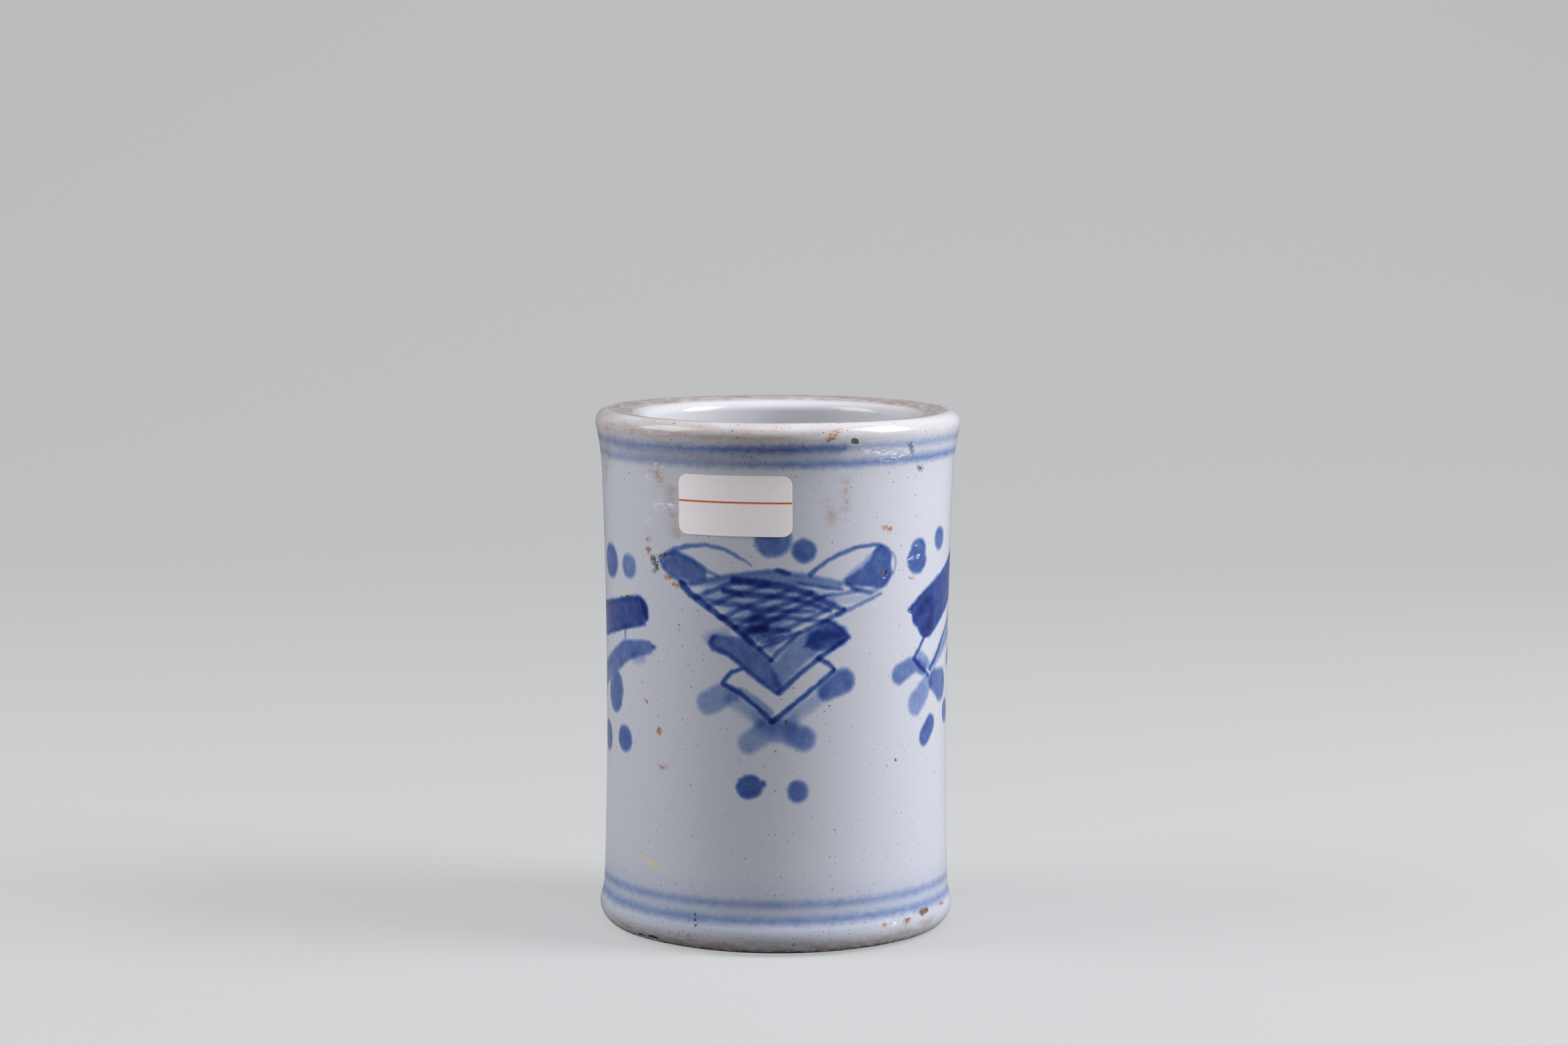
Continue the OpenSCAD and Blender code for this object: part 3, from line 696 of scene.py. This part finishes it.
def unsteady(chart, size, reach):
    """A chart shaken by noise, for hand-drawn or ragged edges."""
    noise_inputs = {"Vector": place, "Scale": 1 / size, "Detail": 3.0, "Roughness": 0.6}
    noise = put(tree, "TexNoise", noise_inputs).outputs["Color"]
    shake = calc3(tree, "SUBTRACT", noise, (0.5, 0.5, 0.5))
    return calc3(tree, "MULTIPLY_ADD", shake, (reach, reach, 0), chart)


hand_chart = unsteady(folded_chart, 2.2, 0.8)
ring_chart = unsteady(true_chart, 1.5, 1.4)
ragged_chart = unsteady(true_chart, 0.9, 1.1)


def motif(name, strokes, chart):
    """Places a painted motif in the glaze's material."""
    painted = put(tree, "Group", {"Chart": chart}, node_tree=painting(name, strokes))
    return painted.outputs["Pigment"]


in_front = calc(tree, "SUBTRACT", 1.0, behind)
pigment = times(tree, motif("hatched_emblem", hatched_emblem, hand_chart), in_front)
pigment = calc(tree, "ADD", pigment, motif("left_emblem", left_emblem, hand_chart))
pigment = calc(tree, "ADD", pigment, motif("right_emblem", right_emblem, hand_chart))
pigment = calc(tree, "ADD", pigment, motif("painted_rings_and_foot_shade", painted_rings_and_foot_shade, ring_chart))
noise_inputs = {"Vector": place, "Scale": 0.35, "Detail": 5.0, "Roughness": 0.7}
pools = put(tree, "TexNoise", noise_inputs).outputs["Fac"]
pigment = times(tree, pigment, calc(tree, "MULTIPLY_ADD", pools, 1.2, 0.4))
passes = [calc(tree, "POWER", part, pigment) for part in let_through]
cobalt = put(tree, "CombineColor", dict(enumerate(passes))).outputs[0]


def stain(name, strokes, grain):
    """Mask of stains that break up into grains towards their edges."""
    spread = motif(name, strokes, ragged_chart)
    return patch(tree, place, grain, calc(tree, "MULTIPLY_ADD", spread, -0.8, 0.93), 0.12)


def scatter(chart, spacing, size, share):
    """Mask of small specks: their spacing, largest radius and the share of places that has one."""
    grid = {"Vector": chart, "Scale": 1 / spacing}
    cells = put(tree, "TexVoronoi", grid, voronoi_dimensions="2D").outputs
    chance = put(tree, "SeparateColor", {0: cells["Color"]}).outputs
    r = times(tree, chance[0], size / spacing)
    within = calc(tree, "LESS_THAN", cells["Distance"], r)
    return times(tree, within, chance[2], calc(tree, "LESS_THAN", chance[1], share))


rubbed = calc3(tree, "MULTIPLY", true_chart, (0.3, 1.0, 1.0))
haze = motif("brown_haze", brown_haze, ragged_chart)
haze = times(tree, haze, patch(tree, rubbed, 1.5, 0.28, 0.4))
handled = times(tree, ramp(tree, u, *handled_right), ramp(tree, u, *handled_left))
grime = times(tree, ramp(tree, z, *grimy_lip), handled, patch(tree, rubbed, 3.2, 0.31, 0.3))
grime = times(tree, grime, patch(tree, place, 0.55, 0.22, 0.4), 0.65)
haze = calc(tree, "MAXIMUM", haze, grime)
worn = calc(tree, "MAXIMUM", ramp(tree, z, *worn_lip), ramp(tree, z, *worn_foot))
fine_specks = scatter(true_chart, 1.5, 0.19, calc(tree, "MULTIPLY_ADD", worn, 0.45, 0.28))
coarse_specks = scatter(true_chart, 5.0, 0.26, calc(tree, "MULTIPLY_ADD", worn, 0.4, 0.28))
# Darker in patches towards the foot's lower edge: dirt, with painted shade where the foot turns
# under
foot_dirt_and_shade = times(tree, patch(tree, place, 1.6, 0.42, 0.2), ramp(tree, z, *dirty_shaded_foot))
rust = stain("rust_marks", rust_marks, 0.5)
iron = stain("iron_grains", iron_grains, 0.38)
crust = stain("yellow_crusts", yellow_crusts, 0.5)
scuffed_and_glinting = motif("scuffs_and_glints", scuffs_and_glints, ragged_chart)
scuffed_and_glinting = times(tree, scuffed_and_glinting, patch(tree, rubbed, 0.6, 0.5, 0.1))

colour = lay(tree, ramp(tree, z, *thin_lip), glaze_colour, thin_colour)
colour = lay(tree, 1.0, colour, cobalt, "MULTIPLY")
colour = lay(tree, haze, colour, haze_colour, "MULTIPLY")
# Pale scuffs and painted glints
colour = lay(tree, scuffed_and_glinting, colour, scuff_and_glint_colour)
colour = lay(tree, fine_specks, colour, old_rust_colour)
colour = lay(tree, coarse_specks, colour, old_rust_colour)
rust_tint = lay(tree, patch(tree, place, 0.9, 0.40, 0.16), old_rust_colour, rust_colour)
colour = lay(tree, times(tree, rust, 0.85), colour, rust_tint)
colour = lay(tree, times(tree, crust, 0.9), colour, crust_colour)
colour = lay(tree, times(tree, iron, 0.9), colour, iron_colour)
colour = lay(tree, foot_dirt_and_shade, colour, dirt_and_shade_colour)
tree.links.new(colour, shader.inputs["Base Color"])
stained = rust
for mask in (iron, crust, foot_dirt_and_shade):
    stained = calc(tree, "MAXIMUM", stained, mask)
dulled = calc(tree, "MULTIPLY_ADD", stained, stain_dullness, glaze_gloss)
tree.links.new(dulled, shader.inputs["Roughness"])
lay_skin(tree, shader, place)

outer_coat.data.materials.append(cobalt_glaze)
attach(outer_coat, "root")
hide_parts("outer_glaze")


# Inner glaze. The same clear glaze, poured into the pot and swirled out again, unpainted.
# It covers the top of the lip, where it is rubbed and stained brown, the cavity and its floor.

cavity_r = 33.5
floor_z = 11.0
corner_r = 8.0
lip_crown_r = 24.0
lip_inner_round = 2.5
crown_middle = (lip_edge[0], height - lip_crown_r)
inner_round_r = cavity_r + lip_inner_round
inner_round_rise = sqrt((lip_crown_r - lip_inner_round) ** 2 - (lip_edge[0] - inner_round_r) ** 2)
inner_round = (inner_round_r, crown_middle[1] + inner_round_rise)
corner_middle = (cavity_r - corner_r, floor_z + corner_r)
crown_end = bearing(crown_middle, inner_round)
cavity_rows = 40
floor_rows = 12

inner_line = arc(crown_middle, lip_crown_r, 90, crown_end, 8)
inner_line += arc(inner_round, lip_inner_round, crown_end, 180, 10)
cavity_drop = inner_round[1] - corner_middle[1]
cavity_steps = [inner_round[1] - cavity_drop * i / cavity_rows for i in range(cavity_rows)]
inner_line += [(cavity_r, z) for z in cavity_steps]
inner_line += arc(corner_middle, corner_r, 0, -90, 12)
inner_line += [(corner_middle[0] * (1 - i / floor_rows), floor_z) for i in range(floor_rows + 1)]
inner_coat = coat("inner_glaze_coat", inner_line)
smooth(inner_coat)

inside_colour = (0.44, 0.44, 0.475, 1)
top_colour = (0.66, 0.61, 0.60, 1)

# Where the stains start and where they are full: distances from the axis, and heights
lip_top = (35.2, 37.6)
before_crest = (42.3, 40.8)
crest = (40.6, 42.2)
dirty_floor = (22.0, 10.5)
rim_stretch = 0.4

poured_glaze, tree, shader, place = new_material("poured_glaze", glaze_gloss, glaze_shine)
axes = put(tree, "SeparateXYZ", {0: place}).outputs
radius = off_axis(tree, place)
round_rim = times(tree, calc(tree, "ARCTAN2", axes["X"], axes["Y"]), rim_stretch * chart_r)
rim_chart = put(tree, "CombineXYZ", {"X": round_rim, "Y": radius, "Z": axes["Z"]}).outputs[0]
on_lip = ramp(tree, radius, *lip_top)
lip_haze = times(tree, on_lip, patch(tree, rim_chart, 4.0, 0.30, 0.5))
off_crest = times(tree, on_lip, ramp(tree, radius, *before_crest))
dirty_top = times(tree, off_crest, patch(tree, rim_chart, 1.6, 0.22, 0.45))
crest_line = times(tree, ramp(tree, radius, *crest), patch(tree, rim_chart, 1.0, 0.4, 0.3))
smudges = times(tree, on_lip, patch(tree, rim_chart, 1.3, 0.55, 0.2))
floor_dirt = ramp(tree, axes["Z"], *dirty_floor)
floor_dirt = times(tree, floor_dirt, patch(tree, place, 9.0, 0.42, 0.3))
pinholes = patch(tree, place, 0.7, 0.67, 0.06)
colour = lay(tree, dirty_top, inside_colour, top_colour, "MULTIPLY")
colour = lay(tree, lip_haze, colour, haze_colour, "MULTIPLY")
colour = lay(tree, times(tree, crest_line, 0.35), colour, old_rust_colour)
colour = lay(tree, times(tree, smudges, 0.4), colour, dirt_and_shade_colour)
colour = lay(tree, times(tree, floor_dirt, 0.5), colour, dirt_and_shade_colour)
colour = lay(tree, times(tree, pinholes, 0.6), colour, old_rust_colour)
tree.links.new(colour, shader.inputs["Base Color"])
dulled = calc(tree, "MULTIPLY_ADD", smudges, 0.3, glaze_gloss)
tree.links.new(dulled, shader.inputs["Roughness"])
lay_skin(tree, shader, place)

inner_coat.data.materials.append(poured_glaze)
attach(inner_coat, "root")
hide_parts("inner_glaze")


# Base glaze. Clear glaze brushed into the shallow recess inside the foot ring.
# It lies flat, meets the sloping side of the recess, and has caught kiln grit.

base_low, base_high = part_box("base_glaze")
base_face = base_low[2] / MM
base_back = base_high[2] / MM
base_face_r = base_high[0] / MM
base_back_r = 31.55
base_rows = 16
base_roughness = 0.2
base_skin_strength = 0.4
base_skin_depth = 0.15
base_line = [(base_face_r * i / base_rows, base_face) for i in range(base_rows + 1)]
base_line += [(base_back_r * (1 - i / base_rows), base_back) for i in range(base_rows + 1)]
base_coat = turn("base_glaze_coat", base_line)
smooth(base_coat)

recess_glaze, tree, shader, place = new_material("recess_glaze", base_roughness, glaze_shine)
kiln_grit = patch(tree, place, 0.9, 0.62, 0.08)
colour = lay(tree, patch(tree, place, 8.0, 0.42, 0.3), glaze_colour, haze_colour, "MULTIPLY")
colour = lay(tree, times(tree, kiln_grit, 0.7), colour, iron_colour)
tree.links.new(colour, shader.inputs["Base Color"])
lay_skin(tree, shader, place, base_skin_strength, base_skin_depth)

base_coat.data.materials.append(recess_glaze)
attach(base_coat, "root")
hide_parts("base_glaze")


# Paper label. White gummed paper with rounded corners, stuck to the curve of the upper wall.
# It is bare but for one thin printed rule, red with a yellow edge.

label_w = 28.6
label_h = 14.6
label_round = 2.2
label_t = 0.12
label_angle = -14.0
label_low, label_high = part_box("paper_label")
label_z = (label_low[2] + label_high[2]) / 2 / MM
label_half_turn = label_w / 2 / outside_r(label_z)
label_half_w = outside_r(label_z) * sin(label_half_turn)
label_rows = 24
label_steps = 64
spare = 1.2

label_bottom = label_z - label_h / 2 * spare
label_heights = [label_bottom + label_h * spare * i / label_rows for i in range(label_rows + 1)]
label_line = [(outside_r(z), z) for z in label_heights]
label = turn("gummed_label", label_line, label_steps, 2 * label_half_turn * spare)

# The sheet is turned to the front, pressed on the uneven glaze and cut to its rounded outline
label.rotation_euler = (0, 0, radians(-90 + label_angle) + label_half_turn * spare)
bpy.ops.object.transform_apply(location=False, rotation=True, scale=False)
uneven(label)
finish_mesh(label, "SOLIDIFY", thickness=label_t * MM, offset=1.0)

bpy.ops.object.select_all(action="DESELECT")
bpy.ops.mesh.primitive_plane_add(size=1)
die = bpy.context.object
die.scale = (2 * label_half_w * MM, label_h * MM, 1)
bpy.ops.object.transform_apply(location=False, rotation=False, scale=True)
bpy.ops.object.mode_set(mode="EDIT")
bpy.ops.mesh.bevel(offset=label_round * MM, segments=8, affect="VERTICES")
bpy.ops.mesh.extrude_region_move(TRANSFORM_OT_translate={"value": (0, 0, 2 * rim_r * MM)})
bpy.ops.mesh.select_all(action="SELECT")
bpy.ops.mesh.normals_make_consistent(inside=False)
bpy.ops.object.mode_set(mode="OBJECT")
die.rotation_euler = (radians(90), 0, radians(label_angle))
die.location = (0, 0, label_z * MM)
bpy.ops.object.transform_apply(location=True, rotation=True, scale=False)
finish_mesh(label, "BOOLEAN", operation="INTERSECT", solver="EXACT", object=die)
bpy.data.objects.remove(die)
smooth(label)

paper_colour = (0.78, 0.735, 0.75, 1)
aged_colour = (0.68, 0.62, 0.60, 1)
rule_red = (0.42, 0.03, 0.035, 1)
rule_yellow = (0.75, 0.42, 0.06, 1)
rule_z = 110.9
rule_half = 0.16
yellow_z = 110.65
yellow_half = 0.12

gummed_paper, tree, shader, place = new_material("gummed_paper", 0.6)
axes = put(tree, "SeparateXYZ", {0: place}).outputs
fibre = put(tree, "TexNoise", {"Vector": place, "Scale": 2.4, "Detail": 4.0}).outputs["Fac"]
aged = times(tree, patch(tree, place, 4.0, 0.5, 0.3), 0.25)
colour = lay(tree, aged, paper_colour, aged_colour)


def printed_rule(z, half):
    """Mask of a level printed line."""
    off_line = calc(tree, "ABSOLUTE", calc(tree, "SUBTRACT", axes["Z"], z))
    return ramp(tree, off_line, half + 0.05, half - 0.05)


colour = lay(tree, printed_rule(yellow_z, yellow_half), colour, rule_yellow)
colour = lay(tree, printed_rule(rule_z, rule_half), colour, rule_red)
tree.links.new(colour, shader.inputs["Base Color"])
tree.links.new(calc(tree, "MULTIPLY_ADD", fibre, 0.2, 0.45), shader.inputs["Roughness"])
bump = put(tree, "Bump", {"Strength": 0.25, "Distance": 0.05 * MM, "Height": fibre})
tree.links.new(bump.outputs["Normal"], shader.inputs["Normal"])

label.data.materials.append(gummed_paper)
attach(label, "root")
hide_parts("paper_label")


# Floor and backdrop. One wide sheet of pale studio paper.
# It lies flat under the pot, runs back from it and sweeps up behind it.

sheet_front = -2.5
sheet_back = 1.6
sheet_side = 3.0
sheet_top = 2.4
sweep_r = 0.9
floor_colour = (0.23, 0.234, 0.24, 1)
floor_glow = (0.90, 0.91, 0.93, 1)
glow_share = 0.46


def select_edge(piece, low, high):
    """Selects only the edges of a sheet that lie in a box."""
    def within(place):
        return all(a - 0.001 <= b <= c + 0.001 for a, b, c in zip(low, place, high))
    for vertex in piece.data.vertices:
        vertex.select = within(vertex.co)
    for edge in piece.data.edges:
        edge.select = all(piece.data.vertices[v].select for v in edge.vertices)
    for face in piece.data.polygons:
        face.select = False


back_low = (-sheet_side, sheet_back, 0)
back_high = (sheet_side, sheet_back, 0)
bpy.ops.object.select_all(action="DESELECT")
bpy.ops.mesh.primitive_plane_add(size=1)
floor = bpy.context.object
floor.name = "floor_sheet"
floor.scale = (2 * sheet_side, sheet_back - sheet_front, 1)
floor.location = (0, (sheet_front + sheet_back) / 2, 0)
bpy.ops.object.transform_apply(location=True, rotation=False, scale=True)
select_edge(floor, back_low, back_high)
bpy.ops.object.mode_set(mode="EDIT")
bpy.ops.mesh.select_mode(type="EDGE")
bpy.ops.mesh.extrude_region_move(TRANSFORM_OT_translate={"value": (0, 0, sheet_top)})
bpy.ops.object.mode_set(mode="OBJECT")
select_edge(floor, back_low, back_high)
bpy.ops.object.mode_set(mode="EDIT")
bpy.ops.mesh.bevel(offset=sweep_r, segments=24, affect="EDGES")
bpy.ops.object.mode_set(mode="OBJECT")
bpy.ops.object.shade_smooth()

# The camera sees the sheet paler than its light makes it
floor_paper, tree, shader, place = new_material("floor_paper", 0.85)
grain = put(tree, "TexNoise", {"Vector": place, "Scale": 0.8, "Detail": 3.0}).outputs["Fac"]
tone = calc(tree, "MULTIPLY_ADD", grain, 0.06, 0.97)
tree.links.new(lay(tree, 1.0, floor_colour, tone, "MULTIPLY"), shader.inputs["Base Color"])
seen = put(tree, "LightPath").outputs["Is Camera Ray"]
glow = put(tree, "Emission", {"Color": floor_glow})
blend = put(tree, "MixShader", {0: times(tree, seen, glow_share), 1: shader.outputs[0],
                                2: glow.outputs[0]})
tree.links.new(blend.outputs[0], tree.nodes["Material Output"].inputs["Surface"])
floor.data.materials.append(floor_paper)


# Studio light. A broad soft light stands at each side, the right one stronger, with a weak one
# overhead and a dim, even room around them.

def soft_light(name, watts, place, size):
    """A rectangular soft light that faces the middle of the pot."""
    lamp = bpy.data.lights.new(name, "AREA")
    lamp.energy = watts
    lamp.shape = "RECTANGLE"
    lamp.size, lamp.size_y = size
    lit = bpy.data.objects.new(name, lamp)
    bpy.context.collection.objects.link(lit)
    lit.location = place
    lit.rotation_euler = (Vector(place) - Vector((0, 0, 0.07))).to_track_quat("Z", "Y").to_euler()


soft_light("right_softbox", 21.0, (0.84, -0.15, 0.70), (0.5, 0.7))
soft_light("left_softbox", 11.2, (-0.84, -0.15, 0.70), (0.6, 0.6))
soft_light("overhead_softbox", 0.7, (0, -0.15, 0.62), (0.3, 0.3))

room = bpy.data.worlds.new("pale_room")
room.use_nodes = True
bpy.context.scene.world = room
tree = room.node_tree
room_light = tree.nodes["Background"]
room_light.inputs["Color"].default_value = (0.88, 0.89, 0.92, 1)
room_light.inputs["Strength"].default_value = 0.15
room_view = put(tree, "Background", {"Color": (0.50, 0.505, 0.515, 1)})
seen = put(tree, "LightPath").outputs["Is Camera Ray"]
blend = put(tree, "MixShader", {0: seen, 1: room_light.outputs[0], 2: room_view.outputs[0]})
tree.links.new(blend.outputs[0], tree.nodes["World Output"].inputs["Surface"])


# Camera. A long lens stands in front of the pot, a little above its rim.
# It looks down slightly and leans a little to one side.

lens_mm = 85.81
pitch_down = 6.573
roll = 0.257
camera_place = (1.64, -932.0, 208.6)
lens = bpy.data.cameras.new("camera")
lens.lens = lens_mm
lens.sensor_width = 36.0
lens.clip_end = 20.0
camera = bpy.data.objects.new("camera", lens)
bpy.context.collection.objects.link(camera)
camera.location = [distance * MM for distance in camera_place]
tilt = Matrix.Rotation(radians(90 - pitch_down), 3, "X") @ Matrix.Rotation(radians(roll), 3, "Z")
camera.rotation_euler = tilt.to_euler()
bpy.context.scene.camera = camera
bpy.context.scene.view_settings.view_transform = "Standard"
